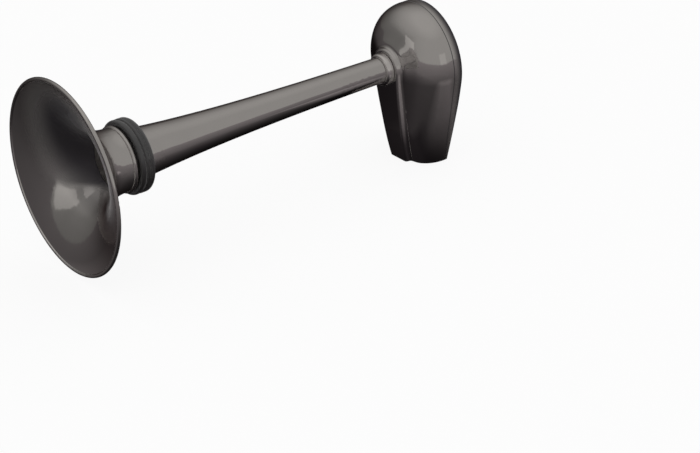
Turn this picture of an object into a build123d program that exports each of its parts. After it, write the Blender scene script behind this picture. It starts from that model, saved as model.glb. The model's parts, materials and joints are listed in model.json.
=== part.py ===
"""Compressed-air trumpet horn for a vehicle roof.

A spun bell and a long tapered tube lead back to a teardrop housing that stands on its foot.
The housing holds the sound head, whose steel diaphragm lies against a nozzle. Air comes in
through the foot, rises through a short pipe and lifts the diaphragm off the nozzle.

Millimetres. The origin is the centre of the foot's underside, under the air inlet.
+X runs along the trumpet from the bell's mouth to the housing, and +Z is up.
Pieces are drawn in the trumpet's own frame, where a station is the distance behind the
mouth and the trumpet's axis is at height zero, and are moved into place as they are written.
"""
from build123d import *
import os
from math import asin, cos, exp, hypot, radians, sin, sqrt, tan

# Overall layout
BELL_D = 160.0            # over the bell's rolled rim
MOUTH_TO_SEAM = 343.7     # mouth to the joint between the housing's two shells
INLET_TO_SEAM = 10.0      # air inlet in the foot to that joint
AXIS_HEIGHT = 85.0        # trumpet's axis above the foot's underside
FIT = 0.1                 # clearance of round seats
SLIP = 0.3                # clearance of flat pieces inside the housing

# Bell
LIP_R = 1.7               # radius of the rolled rim
LIP_JOIN = 0.9            # the flare meets the rim this far behind its centre
LIP_RISE = 0.3            # and this far outside it
BELL_WALL = 2.0
NECK_R = 26.1             # outside radius of the bell's neck
FLARE_LENGTH = 49.7       # length over which the bell narrows to its neck
FLARE_POWER = 2.8
FLARE_EVEN = 0.42         # share of the flare whose inside keeps the wall's thickness
NECK_LAND = 2.2           # neck behind the flare
BEAD_LENGTH = 3.6         # half-round bead at the neck's end
BEAD_HEIGHT = 1.3
SOCKET_DEPTH = 10.2       # how far the tube sits in the neck

# Tube
TUBE_WALL = 1.2
TUBE_FRONT_R = 22.0       # outside radius at the bell
TUBE_TIP_R = 9.8          # radius that the taper settles to
TAPER_LENGTH = 100.0      # distance over which the taper falls to a third
TUBE_LAND = 1.8           # straight length of tube behind the bell

# Rubber support ring
RING_WIDTH = 15.4
RING_R = 29.5
RING_FACE = 5.6           # height of the ring's front face above the tube
RING_GROOVE = 0.8         # depth of the groove between its two bands
RING_FRONT_BAND = 5.0     # width of the front band
RING_SHOULDER = 2.0
RING_STEP = 0.2           # how much lower the rear band is
RING_EDGE = 0.5           # rounding of the bands

# Collar that screws the trumpet to the sound head
COLLAR_R = 13.4
COLLAR_LENGTH = 6.4       # from its front lip to the boss
COLLAR_LIP = 1.9          # how far the front lip is turned in
COLLAR_CHAMFER = 0.6
COLLAR_SEAT = 4.6         # depth of the tube's seat in the collar
SLEEVE_R = 10.5
SLEEVE_LENGTH = 14.0
THROAT_R = 6.0            # sound passage at the nozzle

# Housing
HOUSING_DEPTH = 32.0      # seam to the front of the dome
SIDE_LEAN = 13.6          # degrees that the sides lean in towards the foot
SIDE_BOW = 2.3            # degrees that the sides turn by from their middle to each end
SIDE_DROP = 100.0         # axis to the centre of the circle that ends the sides
HOUSING_WALL = 2.5
SEAM_GASKET = 0.8         # thickness of the gasket between the two shells
REAR_DEPTH = 8.6          # depth of the rear cover at its round top
REAR_FOOT_DEPTH = 4.2     # its thickness at the foot
REAR_LEAN_START = 22.0    # distance below the axis where its face starts to lean
REAR_BEND = 400.0         # radius of the bend where it does
REAR_EDGE = 1.4           # rounding of its rear edge
REAR_SILL = 2.0           # solid part of the cover above the base plate
REAR_BOSS = 1.0           # how much wider its screw bosses are than the posts
DOME_POWER = 2.3          # 2 would be an ellipse; more is fuller
DOME_FOOT_POWER = 0.6     # the foot's round narrows more slowly than the top
DOME_REACH_POWERS = (2.5, 0.8)   # how the dome's sections shorten from below
FORM_STEPS = 8            # sections that shape the dome
FORM_LAST = 0.965         # share of the depth where the dome ends under the boss

# Raised keel from the trumpet's boss down to the foot
BOSS_R = 16.4             # keel's half width at the boss, which is its round top
BOSS_TO_SEAM = 35.6       # front face of the boss to the joint of the two shells
BOSS_THICKNESS = 7.1
KEEL_FOOT_HALF = 10.0     # keel's half width at the foot
KEEL_FOOT_SETBACK = 10.0  # how far the keel's front leans back by the foot
KEEL_BELLY = 3.2          # setback halfway down
KEEL_FOOT_SLOPE = 0.25    # slope of the keel's front at the foot
KEEL_BURIED = 11.0        # the keel ends this far in front of the seam, inside the dome
KEEL_DRAFT = 4.0          # degrees that the keel's sides widen by
KEEL_EDGE = 2.2           # rounding of its front edges
KEEL_BLEND = 2.5          # rounding where the keel runs into the dome

# Foot
FOOT_LIP = 2.0            # ledge that carries the base plate, beyond the wall
FOOT_LIP_THICKNESS = 2.5
PLATE_THICKNESS = 9.0
BOLT_SPACING = 36.0       # the two M8 holes
BOLT_TAP_R = 3.4          # tapping radius of their thread
BOLT_CLEARANCE_R = 4.2    # holes for them in the rubber pad
INLET_BODY_R = 7.6
INLET_TAP_R = 5.9         # tapping radius of the quarter-inch pipe thread
INLET_TAP_DEPTH = 12.0
INLET_HEX = 19.0
INLET_HEX_HEIGHT = 4.0

# Sound head
HEAD_R = 38.0
HUB_R = 16.0
HUB_LENGTH = 4.0
HUB_SEAL = 1.5            # thickness of the rubber washer in front of the hub
HUB_SEAL_EDGE = 0.5       # how far it stays inside the hub and outside the sleeve
CUP_LENGTH = 9.0          # cone from the hub out to the flange
FLANGE_LENGTH = 6.6
HEAD_RIM = 7.0            # width of the flange round the air chamber
HEAD_GAP = 0.6            # clearance between the head and the screw posts
CHAMBER_DEPTH = 7.0
NOZZLE_R = 10.5
SEAT_R = 8.0
SEAT_LENGTH = 6.0
SEAT_FIT = 0.05           # clearance round the seat, which is set with sealant
GASKET = 0.5
DIAPHRAGM = 0.3
SEAT_GAP = 0.05           # running gap between nozzle seat and diaphragm
CAP_RIM = 4.6
CAP_STEP = 1.0            # how much smaller the cap's cavity is than the chamber
CAP_CAVITY = 2.6
CAP_CROWN_R = 12.0
CAP_CROWN = 1.4
CAP_RIBS = 6
CAP_VENT_R = 1.5
HEAD_SCREWS = 6
HEAD_SCREW_INSET = 3.5    # ring of screws, in from the head's rim
HEAD_SCREW_DEPTH = 5.0

# Screws: M4 for the head and the covers
SCREW_R = 2.0
SCREW_HEAD_R = 3.6
SCREW_HEAD = 2.3
SCREW_HEAD_EDGE = 0.8     # chamfer of the pan heads
SCREW_SUNK = 1.0          # how far the covers' screw heads lie below the rear face
SLOT_WIDTH = 1.1
SLOT_DEPTH = 1.1
POST_R = 3.7              # screw posts in the housing
POST_SKIN = 1.5           # metal of the housing outside the upper posts
POST_ANGLE = 45.0         # upper posts, above the level of the axis
SIDE_POST_DROP = 30.0     # side posts, below the axis
SIDE_POST_INSET = 6.6     # their centres, in from the housing's side
POST_HOLE = 9.0
FOOT_SCREW_Y = 11.6
FOOT_SCREW_LENGTH = 8.0   # in the base plate
SUNK_HEAD = 1.6           # height of the foot screws' countersunk heads

# Air pipe
PIPE_R = 3.0
PIPE_BORE_R = 2.0
NIPPLE_R = 4.4
NIPPLE_LENGTH = 5.5
PIPE_SEAT = 4.0
NUT_HEX = 12.0
NUT_LENGTH = 8.0
PORT_GAP = 0.8            # from the head's rim down to its port block
PORT_WIDTH = 12.0
PORT_HEIGHT = 6.0

# Values worked out from the sizes above
BELL_R = BELL_D / 2
MOUTH_TO_INLET = MOUTH_TO_SEAM - INLET_TO_SEAM
PIPE_STATION = MOUTH_TO_INLET
BOSS_STATION = MOUTH_TO_SEAM - BOSS_TO_SEAM
CHAMBER_R = HEAD_R - HEAD_RIM
CAP_CAVITY_R = CHAMBER_R - CAP_STEP
HEAD_SCREW_PITCH_R = HEAD_R - HEAD_SCREW_INSET
POST_PITCH_R = HEAD_R + HEAD_GAP + POST_R
HOUSING_R = POST_PITCH_R + POST_R + POST_SKIN    # round top, about the trumpet's axis
NECK_END = FLARE_LENGTH + NECK_LAND
TUBE_FRONT = NECK_END - SOCKET_DEPTH
TAPER_START = NECK_END + TUBE_LAND
COLLAR_FRONT = BOSS_STATION - COLLAR_LENGTH
TUBE_END = COLLAR_FRONT + COLLAR_SEAT
BOSS_BACK = BOSS_STATION + BOSS_THICKNESS
SLEEVE_END = BOSS_STATION + SLEEVE_LENGTH
HUB_FRONT = BOSS_BACK + HUB_SEAL
CUP_START = HUB_FRONT + HUB_LENGTH
FLANGE_START = CUP_START + CUP_LENGTH
FLANGE_END = FLANGE_START + FLANGE_LENGTH
DIAPHRAGM_FRONT = FLANGE_END + GASKET
CAP_FRONT = DIAPHRAGM_FRONT + DIAPHRAGM + GASKET
CAP_BACK = CAP_FRONT + CAP_RIM
SEAM_FRONT = MOUTH_TO_SEAM - SEAM_GASKET / 2
SEAM_BACK = MOUTH_TO_SEAM + SEAM_GASKET / 2
REAR_FACE = MOUTH_TO_SEAM + REAR_DEPTH
FOOT = -AXIS_HEIGHT
PLATE_BOTTOM = FOOT + FOOT_LIP_THICKNESS
PLATE_TOP = PLATE_BOTTOM + PLATE_THICKNESS
FOOT_SCREW_Z = PLATE_BOTTOM + PLATE_THICKNESS / 2
SIDE_FOOT_R = HOUSING_R - SIDE_DROP * sin(radians(SIDE_LEAN))
KEEL_LEAN = (BOSS_R - KEEL_FOOT_HALF) / AXIS_HEIGHT
KEEL_END = MOUTH_TO_SEAM - KEEL_BURIED
INLET_HEX_TOP = PLATE_TOP + INLET_HEX_HEIGHT
PIPE_BOTTOM = INLET_HEX_TOP + NIPPLE_LENGTH - PIPE_SEAT
PORT_TOP = -HEAD_R - PORT_GAP
PORT_BOTTOM = PORT_TOP - PORT_HEIGHT
PIPE_TOP = PORT_BOTTOM - NIPPLE_LENGTH + PIPE_SEAT
SEAT_END = DIAPHRAGM_FRONT - SEAT_GAP
SCREW_SEAT = REAR_FACE - SCREW_HEAD - SCREW_SUNK
FOOT_HEAD_TOP = MOUTH_TO_SEAM + REAR_FOOT_DEPTH
BIG = 400.0               # longer than anything that it cuts


def turned(outline):
    """Revolve a closed outline of (station, radius) about the trumpet's axis."""
    return revolve(Plane.XZ * make_face(outline), Axis.X)


def ring(start, end, outer, inner):
    """Plain turned ring between two stations."""
    section = Polyline((start, inner), (end, inner), (end, outer), (start, outer), close=True)
    return turned(section)


def rod(start, end, radius, y=0.0, z=0.0):
    """Cylinder along the trumpet between two stations."""
    plane = Plane(origin=(start, y, z), x_dir=(0, 1, 0), z_dir=(1, 0, 0))
    return extrude(plane * Circle(radius), end - start)


def upright(bottom, top, radius, station=PIPE_STATION, y=0.0):
    """Vertical cylinder between two heights."""
    return extrude(Pos(station, y, bottom) * Circle(radius), top - bottom)


def upright_hex(bottom, top, across_flats, station=PIPE_STATION):
    """Vertical hexagon bar between two heights."""
    flats = RegularPolygon(across_flats / 2, 6, major_radius=False, rotation=30)
    return extrude(Pos(station, 0, bottom) * flats, top - bottom)


def slab(station_low, station_high, z_low, z_high, width=BIG):
    """Box between two stations and two heights, centred on the middle plane."""
    size = (station_high - station_low, width, z_high - z_low)
    return Pos(station_low, 0, z_low) * Box(*size, align=(Align.MIN, Align.CENTER, Align.MIN))


def around(count, radius, first=0.0):
    """Places (y, z) evenly spaced on a circle about the axis."""
    angles = [radians(first + 360.0 * i / count) for i in range(count)]
    return [(radius * cos(angle), radius * sin(angle)) for angle in angles]


# ---- Trumpet ----

def bell_radius(station):
    """Outside of the flare: a power curve from the rim to the neck."""
    share = (FLARE_LENGTH - station) / (FLARE_LENGTH - LIP_R - LIP_JOIN)
    return NECK_R + (BELL_R - LIP_R + LIP_RISE - NECK_R) * share ** FLARE_POWER


def bell_inside(station):
    """Point on the inside of the flare, one wall in from the outside along its normal."""
    slope = -FLARE_POWER * (bell_radius(station) - NECK_R) / (FLARE_LENGTH - station)
    size = sqrt(1 + slope * slope)
    return (station + BELL_WALL * slope / size, bell_radius(station) - BELL_WALL / size)


def tube_radius(station):
    """Outside of the tube: straight in the bell's neck, then an exponential taper."""
    if station <= TAPER_START:
        return TUBE_FRONT_R
    fall = exp(-(station - TAPER_START) / TAPER_LENGTH)
    return TUBE_TIP_R + (TUBE_FRONT_R - TUBE_TIP_R) * fall


def make_bell():
    """Flare with a rolled rim, and a neck that ends in a bead round the tube's socket."""
    first = LIP_R + LIP_JOIN
    bead_start = NECK_END - BEAD_LENGTH
    steps = [first + (bead_start - first) * i / 12 for i in range(13)]
    outside = Spline([(s, bell_radius(s)) for s in steps])
    inner_steps = [first + (FLARE_LENGTH * FLARE_EVEN - first) * i / 6 for i in range(7)]
    throat = (TUBE_FRONT - SLIP, TUBE_FRONT_R - TUBE_WALL)
    inside = Spline([bell_inside(s) for s in inner_steps] + [throat])
    bead = ThreePointArc(outside @ 1, (NECK_END - BEAD_LENGTH / 2, NECK_R + BEAD_HEIGHT),
                         (NECK_END, NECK_R))
    socket = Polyline((NECK_END, NECK_R), (NECK_END, TUBE_FRONT_R + FIT),
                      (TUBE_FRONT - SLIP, TUBE_FRONT_R + FIT), throat)
    rim_end = Line(inside @ 0, outside @ 0)
    rim = turned(Pos(LIP_R, BELL_R - LIP_R) * Circle(LIP_R).edge())
    return turned([outside, bead, socket, inside, rim_end]) + rim


def make_tube():
    """Thin tapered tube, straight for its length in the bell's neck."""
    steps = [TAPER_START + (TUBE_END - TAPER_START) * i / 10 for i in range(11)]
    outside = Spline([(s, tube_radius(s)) for s in steps])
    inside = Spline([(s, tube_radius(s) - TUBE_WALL) for s in reversed(steps)])
    front = Polyline(inside @ 1, (TUBE_FRONT, TUBE_FRONT_R - TUBE_WALL),
                     (TUBE_FRONT, TUBE_FRONT_R), outside @ 0)
    return turned([outside, Line(outside @ 1, inside @ 0), inside, front])


def make_support_ring():
    """Rubber ring stretched over the tube behind the bell, with a groove between two bands."""
    start = NECK_END + FIT
    end = start + RING_WIDTH
    land = TAPER_START
    steps = [end + (land - end) * i / 4 for i in range(5)]
    bore = Spline([(s, tube_radius(s) + FIT) for s in steps])
    groove = start + RING_FRONT_BAND
    skin = Polyline((land, TUBE_FRONT_R + FIT), (start, TUBE_FRONT_R + FIT),
                    (start, TUBE_FRONT_R + RING_FACE), (start + RING_SHOULDER, RING_R),
                    (groove, RING_R), (groove + RING_GROOVE, RING_R - RING_GROOVE),
                    (groove + 2 * RING_GROOVE, RING_R - RING_GROOVE),
                    (groove + 3 * RING_GROOVE, RING_R - RING_STEP),
                    (end - RING_SHOULDER, RING_R - RING_STEP), (end, RING_R - RING_SHOULDER),
                    bore @ 0)
    face = make_face([skin, bore])
    outer = [v for v in face.vertices() if v.Y > RING_R - RING_GROOVE - FIT]
    face = fillet(outer, RING_EDGE)
    return revolve(Plane.XZ * face, Axis.X)


def make_collar():
    """Turned collar: seats the tube's end, and screws into the sound head through the boss."""
    seat_r = tube_radius(TUBE_END) + FIT
    front_r = COLLAR_R - COLLAR_LIP
    turn = COLLAR_LIP * (1 - cos(radians(45)))
    lip = ThreePointArc((COLLAR_FRONT, front_r), (COLLAR_FRONT + turn, COLLAR_R - turn),
                        (COLLAR_FRONT + COLLAR_LIP, COLLAR_R))
    body = Polyline((COLLAR_FRONT + COLLAR_LIP, COLLAR_R),
                    (BOSS_STATION - COLLAR_CHAMFER, COLLAR_R),
                    (BOSS_STATION, COLLAR_R - COLLAR_CHAMFER), (BOSS_STATION, SLEEVE_R),
                    (SLEEVE_END, SLEEVE_R), (SLEEVE_END, THROAT_R),
                    (TUBE_END, tube_radius(TUBE_END) - TUBE_WALL), (TUBE_END, seat_r),
                    (COLLAR_FRONT, seat_r), (COLLAR_FRONT, front_r))
    return turned([lip, body])


# ---- Housing form ----

def teardrop(top_r, bottom_r, drop, bow=0.0):
    """Outline round a circle on the axis and a smaller one below it.

    The sides are straight, or arcs that turn by the bow from their middle to each end.
    """
    lean = asin((top_r - bottom_r) / drop)
    top_lean, low_lean = lean - bow, lean + bow
    top_y, top_z = top_r * cos(top_lean), -top_r * sin(top_lean)
    low_y, low_z = bottom_r * cos(low_lean), -drop - bottom_r * sin(low_lean)
    rise = hypot(top_y - low_y, top_z - low_z) / 2 * tan(bow / 2)
    side_y = (top_y + low_y) / 2 + rise * cos(lean)
    side_z = (top_z + low_z) / 2 - rise * sin(lean)
    if bow:
        sides = [ThreePointArc((-top_y, top_z), (-side_y, side_z), (-low_y, low_z)),
                 ThreePointArc((low_y, low_z), (side_y, side_z), (top_y, top_z))]
    else:
        sides = [Line((-top_y, top_z), (-low_y, low_z)), Line((low_y, low_z), (top_y, top_z))]
    top = ThreePointArc((top_y, top_z), (0, top_r), (-top_y, top_z))
    bottom = ThreePointArc((-low_y, low_z), (0, -drop - bottom_r), (low_y, low_z))
    return make_face([top, sides[0], bottom, sides[1]])


def across(station):
    """Plane square to the trumpet, with its X to the side and its Y up."""
    return Plane(origin=(station, 0, 0), x_dir=(0, 1, 0), z_dir=(1, 0, 0))


def dome_form(inset):
    """Dome in front of the seam, drawn in by an inset."""
    top_r, low_r = HOUSING_R - inset, SIDE_FOOT_R - inset
    reach = SIDE_DROP + low_r
    bulge, root = DOME_REACH_POWERS
    sections = []
    for i in range(FORM_STEPS):
        share = sin(asin(FORM_LAST) * i / (FORM_STEPS - 1))
        width = (1 - share ** DOME_POWER) ** (1 / DOME_POWER)
        section_low_r = low_r * width ** DOME_FOOT_POWER
        section_reach = reach * (1 - share ** bulge) ** root
        outline = teardrop(top_r * width, section_low_r, section_reach - section_low_r,
                           radians(SIDE_BOW))
        sections.append(across(MOUTH_TO_SEAM - (HOUSING_DEPTH - inset) * share) * outline)
    return loft(sections)


def keel_front(inset):
    """Region behind the keel's front line, which is upright at the boss and leans back below."""
    front = BOSS_STATION + inset
    line = Spline((front, 0), (front + KEEL_BELLY, -AXIS_HEIGHT / 2),
                  (front + KEEL_FOOT_SETBACK, -AXIS_HEIGHT), tangents=((0, -1), (KEEL_FOOT_SLOPE, -1)))
    side = [Line((front, HOUSING_R), (front, 0)), line,
            Polyline(line @ 1, (MOUTH_TO_SEAM, -AXIS_HEIGHT), (MOUTH_TO_SEAM, HOUSING_R),
                     (front, HOUSING_R))]
    return extrude(Plane.XZ * make_face(side), BOSS_R * 2, both=True)


def keel_form(inset):
    """Raised keel with a round top about the trumpet's boss, drawn in by an inset."""
    sections = []
    for station in (BOSS_STATION, KEEL_END):
        spread = (station - BOSS_STATION) * tan(radians(KEEL_DRAFT)) - inset
        sections.append(across(station) * teardrop(
            BOSS_R + spread, BOSS_R - KEEL_LEAN * SIDE_DROP + spread, SIDE_DROP))
    return loft(sections, ruled=True) & keel_front(inset)


def housing_form(inset):
    """Everything inside the front shell's outside, drawn in by an inset."""
    return dome_form(inset) + keel_form(inset)


def rear_outline(inset):
    """Outline of the housing at its seam, drawn in by an inset and cut off at the foot."""
    outline = teardrop(HOUSING_R - inset, SIDE_FOOT_R - inset, SIDE_DROP, radians(SIDE_BOW))
    floor = Pos(0, FOOT - BIG / 2) * Rectangle(BIG, BIG)
    return outline - floor


def post_places():
    """Places (y, z) of the four screw posts beside the sound head."""
    side = POST_PITCH_R * cos(radians(POST_ANGLE))
    rise = POST_PITCH_R * sin(radians(POST_ANGLE))
    lean = radians(SIDE_LEAN)
    low_side = (HOUSING_R - SIDE_POST_DROP * sin(lean)) / cos(lean) - SIDE_POST_INSET
    return [(side, rise), (-side, rise),
            (low_side, -SIDE_POST_DROP), (-low_side, -SIDE_POST_DROP)]


# ---- Housing pieces ----

def make_front_shell():
    """Hollow front shell with its boss, keel, screw posts and the ledge in the foot."""
    above_foot = slab(BOSS_STATION - 1, SEAM_FRONT, FOOT, HOUSING_R + 1)
    dome, keel = dome_form(0), keel_form(0)
    front_edges = keel.edges().filter_by(
        lambda e: e.center().X < BOSS_STATION + KEEL_FOOT_SETBACK and e.center().Z > FOOT + 1)
    keel = fillet(front_edges, KEEL_EDGE)
    outside = dome + keel
    junction = new_edges(dome, keel, combined=outside)
    outside = fillet(junction.filter_by(lambda e: e.center().Z > FOOT + 1), KEEL_BLEND)
    room = housing_form(HOUSING_WALL) & slab(0, BIG, PLATE_BOTTOM, HOUSING_R)
    shell = (outside & above_foot) - room
    shell += rod(BOSS_STATION + KEEL_EDGE, BOSS_BACK, BOSS_R)
    for y, z in post_places():
        shell += rod(MOUTH_TO_SEAM - HOUSING_DEPTH, SEAM_FRONT, POST_R, y, z) & outside
        shell -= rod(SEAM_FRONT - POST_HOLE, SEAM_FRONT, SCREW_R + FIT, y, z)
    shell -= rod(0, BOSS_BACK, SLEEVE_R + FIT)
    shell -= rod(BOSS_BACK, CUP_START, HUB_R + SLIP)
    shell -= housing_form(HOUSING_WALL + FOOT_LIP) & slab(0, BIG, FOOT - 1, PLATE_BOTTOM)
    return shell


def make_seam_gasket():
    """Flat rubber gasket along the joint of the two shells and across the base plate."""
    window = rear_outline(HOUSING_WALL) - Pos(0, FOOT) * Rectangle(BIG, 2 * (PLATE_TOP - FOOT))
    gasket = extrude(across(SEAM_FRONT) * (rear_outline(0) - window), SEAM_GASKET)
    for y in (-FOOT_SCREW_Y, FOOT_SCREW_Y):
        gasket -= rod(SEAM_FRONT, SEAM_BACK, SCREW_R + FIT, y, FOOT_SCREW_Z)
    return gasket


def rear_face(inset):
    """Region in front of the rear cover's back, upright at the top and leaning in below."""
    back = REAR_FACE - inset
    side = make_face(Polyline(
        (SEAM_FRONT, HOUSING_R), (back, HOUSING_R), (back, -REAR_LEAN_START),
        (MOUTH_TO_SEAM + REAR_FOOT_DEPTH - inset, FOOT), (SEAM_FRONT, FOOT), close=True))
    bend = side.vertices().filter_by(lambda v: abs(v.Y + REAR_LEAN_START) < 1)
    return extrude(Plane.XZ * fillet(bend, REAR_BEND), BIG, both=True)


def make_rear_cover():
    """Shallow cover behind the seam, with sunk seats for its six screws."""
    cover = extrude(across(SEAM_BACK) * rear_outline(0), REAR_DEPTH) & rear_face(0)
    rear_edges = cover.edges().filter_by(
        lambda e: e.center().X > SEAM_BACK + 0.5 and abs(e.tangent_at(0.5).X) < 0.5)
    rear_edges = [e for e in rear_edges if e.center().Z > FOOT + 1 and abs(e.center().Y) > 1
                  or e.center().Z > 0]
    cover = fillet(rear_edges, REAR_EDGE)
    room = extrude(across(SEAM_BACK) * rear_outline(HOUSING_WALL), REAR_DEPTH)
    room = room & rear_face(HOUSING_WALL) & slab(0, BIG, PLATE_TOP + REAR_SILL, HOUSING_R)
    cover -= room
    for y, z in post_places():
        cover += rod(SEAM_BACK, REAR_FACE - HOUSING_WALL, POST_R + REAR_BOSS, y, z) & rear_face(0)
        cover -= rod(SEAM_BACK, REAR_FACE, SCREW_R + FIT, y, z)
        cover -= rod(SCREW_SEAT, REAR_FACE + 1, SCREW_HEAD_R + FIT, y, z)
    for y in (-FOOT_SCREW_Y, FOOT_SCREW_Y):
        cover -= sunk_screw(y, FIT)
        cover -= rod(FOOT_HEAD_TOP, REAR_FACE, SCREW_HEAD_R + FIT, y, FOOT_SCREW_Z)
    return cover


# ---- Foot and air supply ----

def make_base_plate():
    """Cast plate on the foot's ledge, tapped for two bolts and bored for the air inlet."""
    plate = housing_form(HOUSING_WALL + SLIP) & slab(0, SEAM_FRONT, PLATE_BOTTOM, PLATE_TOP)
    plate -= upright(FOOT, PLATE_TOP, INLET_BODY_R + FIT)
    for y in (-BOLT_SPACING / 2, BOLT_SPACING / 2):
        plate -= upright(FOOT, PLATE_TOP, BOLT_TAP_R, y=y)
    for y in (-FOOT_SCREW_Y, FOOT_SCREW_Y):
        plate -= rod(SEAM_FRONT - FOOT_SCREW_LENGTH - 1, SEAM_FRONT, SCREW_R + FIT, y,
                     FOOT_SCREW_Z)
    return plate


def make_base_seal():
    """Rubber pad in the foot's recess, flush with the shell's lower edge."""
    seal = housing_form(HOUSING_WALL + FOOT_LIP + SLIP)
    seal = seal & slab(0, SEAM_FRONT, FOOT, PLATE_BOTTOM)
    seal -= upright(FOOT, PLATE_BOTTOM, INLET_BODY_R + FIT)
    for y in (-BOLT_SPACING / 2, BOLT_SPACING / 2):
        seal -= upright(FOOT, PLATE_BOTTOM, BOLT_CLEARANCE_R, y=y)
    return seal


def make_inlet_bush():
    """Brass bush with a pipe thread below, a hexagon on the plate and a nipple for the pipe."""
    bush = upright(FOOT, PLATE_TOP, INLET_BODY_R)
    bush += upright_hex(PLATE_TOP, INLET_HEX_TOP, INLET_HEX)
    bush += upright(INLET_HEX_TOP, INLET_HEX_TOP + NIPPLE_LENGTH, NIPPLE_R)
    bush -= upright(FOOT, FOOT + INLET_TAP_DEPTH, INLET_TAP_R)
    bush -= upright(FOOT, INLET_HEX_TOP + NIPPLE_LENGTH, PIPE_BORE_R)
    bush -= upright(PIPE_BOTTOM, INLET_HEX_TOP + NIPPLE_LENGTH, PIPE_R + FIT)
    return bush


def make_air_pipe():
    """Straight pipe from the inlet bush up to the sound head."""
    return upright(PIPE_BOTTOM, PIPE_TOP, PIPE_R) - upright(PIPE_BOTTOM, PIPE_TOP, PIPE_BORE_R)


def make_pipe_nuts():
    """Union nuts over the nipples at the pipe's two ends, as one group."""
    nuts = []
    for seat, way in ((INLET_HEX_TOP, 1), (PORT_BOTTOM, -1)):
        near = seat + way * FIT
        far = near + way * NUT_LENGTH
        step = seat + way * (NIPPLE_LENGTH + FIT)
        nut = upright_hex(min(near, far), max(near, far), NUT_HEX)
        nut -= upright(min(near, far), max(near, far), PIPE_R + FIT)
        nut -= upright(min(near, step), max(near, step), NIPPLE_R + FIT)
        nuts.append(nut)
    return Compound(nuts)


# ---- Sound head ----

def bored(piece, start, end):
    """Clear the head's ring of screws through a piece."""
    for y, z in around(HEAD_SCREWS, HEAD_SCREW_PITCH_R):
        piece -= rod(start, end, SCREW_R + FIT, y, z)
    return piece


def make_hub_seal():
    """Rubber washer between the housing's boss and the sound head."""
    return ring(BOSS_BACK, HUB_FRONT, HUB_R - HUB_SEAL_EDGE, SLEEVE_R + HUB_SEAL_EDGE)


def make_head_body():
    """Cast body: screwed hub, nozzle, air chamber round it and the port block below."""
    seat_start = SEAT_END - SEAT_LENGTH
    floor = FLANGE_END - CHAMBER_DEPTH
    outline = Polyline(
        (HUB_FRONT, SLEEVE_R + FIT), (HUB_FRONT, HUB_R), (CUP_START, HUB_R),
        (FLANGE_START, HEAD_R), (FLANGE_END, HEAD_R), (FLANGE_END, CHAMBER_R),
        (floor, CHAMBER_R), (floor, NOZZLE_R), (FLANGE_END - PORT_GAP, NOZZLE_R),
        (FLANGE_END - PORT_GAP, SEAT_R + SEAT_FIT), (seat_start, SEAT_R + SEAT_FIT),
        (seat_start, THROAT_R), (SLEEVE_END + FIT, THROAT_R),
        (SLEEVE_END + FIT, SLEEVE_R + FIT), close=True)
    body = bored(turned(outline), FLANGE_END - HEAD_SCREW_DEPTH, FLANGE_END)
    half = PORT_WIDTH / 2
    block = slab(PIPE_STATION - half, PIPE_STATION + half, PORT_BOTTOM, PORT_TOP, PORT_WIDTH)
    neck = slab(FLANGE_START, FLANGE_END, PORT_TOP, PORT_TOP + PORT_HEIGHT, PORT_WIDTH)
    neck = neck - rod(FLANGE_START, FLANGE_END, CHAMBER_R + 1)
    body += block + neck
    body += upright(PORT_BOTTOM - NIPPLE_LENGTH, PORT_BOTTOM, NIPPLE_R)
    body -= upright(PORT_BOTTOM - NIPPLE_LENGTH, -CHAMBER_R + 1, PIPE_BORE_R)
    body -= upright(PORT_BOTTOM - NIPPLE_LENGTH, PIPE_TOP, PIPE_R + FIT)
    return body


def make_nozzle_seat():
    """Brass seat pressed into the nozzle, against which the diaphragm lies."""
    return ring(SEAT_END - SEAT_LENGTH, SEAT_END, SEAT_R, THROAT_R)


def make_front_gasket():
    """Gasket between the body and the diaphragm."""
    return bored(ring(FLANGE_END, DIAPHRAGM_FRONT, HEAD_R, CHAMBER_R), FLANGE_END, CAP_FRONT)


def make_diaphragm():
    """Thin steel disc, clamped at its rim."""
    disc = rod(DIAPHRAGM_FRONT, DIAPHRAGM_FRONT + DIAPHRAGM, HEAD_R)
    return bored(disc, FLANGE_END, CAP_FRONT)


def make_rear_gasket():
    """Gasket between the diaphragm and the cap."""
    gasket = ring(DIAPHRAGM_FRONT + DIAPHRAGM, CAP_FRONT, HEAD_R, CHAMBER_R)
    return bored(gasket, FLANGE_END, CAP_FRONT)


def make_head_cap():
    """Cast cap over the diaphragm, with a vented crown and radial ribs."""
    outline = Polyline(
        (CAP_FRONT + CAP_CAVITY, CAP_VENT_R), (CAP_FRONT + CAP_CAVITY, CAP_CAVITY_R - CAP_CAVITY),
        (CAP_FRONT, CAP_CAVITY_R), (CAP_FRONT, HEAD_R), (CAP_BACK, HEAD_R),
        (CAP_BACK, CAP_CROWN_R + CAP_CROWN), (CAP_BACK + CAP_CROWN, CAP_CROWN_R),
        (CAP_BACK + CAP_CROWN, CAP_VENT_R), close=True)
    cap = bored(turned(outline), CAP_FRONT, CAP_BACK)
    rib = slab(CAP_BACK, CAP_BACK + CAP_CROWN, CAP_CROWN_R - 1, CAP_CAVITY_R, CAP_CROWN)
    for i in range(CAP_RIBS):
        cap += Rot((i + 0.5) * 360 / CAP_RIBS + 90, 0, 0) * rib
    return cap


# ---- Screws ----

def cross_recess(top):
    """Cutter for the cross in a screw's head whose top is at this station."""
    upright_arm = slab(top - SLOT_DEPTH, top, -SCREW_R, SCREW_R, SLOT_WIDTH)
    return upright_arm + slab(top - SLOT_DEPTH, top, -SLOT_WIDTH / 2, SLOT_WIDTH / 2, 2 * SCREW_R)


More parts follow.
